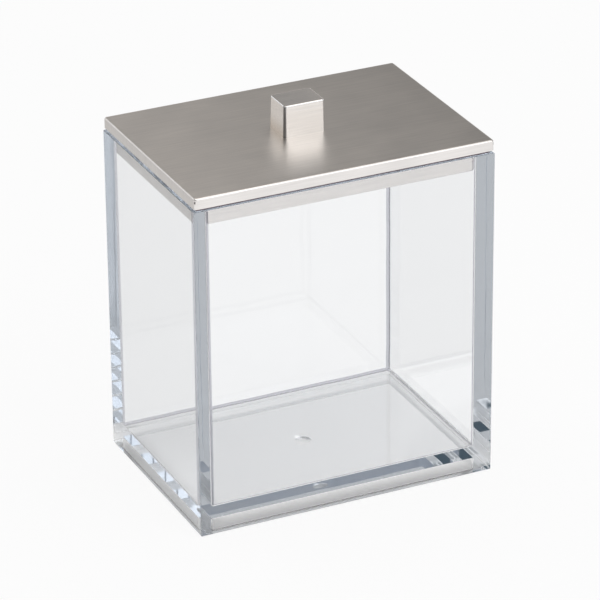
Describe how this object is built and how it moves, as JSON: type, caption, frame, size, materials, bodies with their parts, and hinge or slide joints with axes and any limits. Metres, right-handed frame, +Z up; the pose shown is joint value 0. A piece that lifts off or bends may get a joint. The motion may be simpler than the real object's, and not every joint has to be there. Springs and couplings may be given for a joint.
{
  "type": "clear lidded storage box",
  "caption": "Clear thick-walled rectangular box on a hollow foot, with a lift-off brushed steel lid that plugs its mouth and a block knob on top.",
  "frame": {"origin": "middle of the underside that the box stands on", "axes": "+Z up out of the mouth, X along the wide front face, +Y from the front face to the back"},
  "size_m": [0.127, 0.0886, 0.1572],
  "materials": {
    "clear_plastic": "clear, polished, thick-walled moulding",
    "brushed_steel": "fine straight-grain brushing, satin",
    "core_plastic": "fine moulded matt",
    "pan_steel": "straight-grain brushing",
    "plated_zinc": "satin nickel plate, lightly brushed",
    "fastener_steel": "bright zinc plate"
  },
  "bodies": {
    "box": {"box_body": "clear_plastic"},
    "lid": {"lid_shell": "brushed_steel", "lid_core": "core_plastic", "lid_pan": "pan_steel", "knob": "plated_zinc", "knob_screw": "fastener_steel", "knob_washer": "fastener_steel"}
  },
  "joints": [
    {"name": "lid_lift", "type": "slide", "parent": "box", "child": "lid", "axis": [0, 0, 1], "range_m": [0, 0.03]}
  ]
}
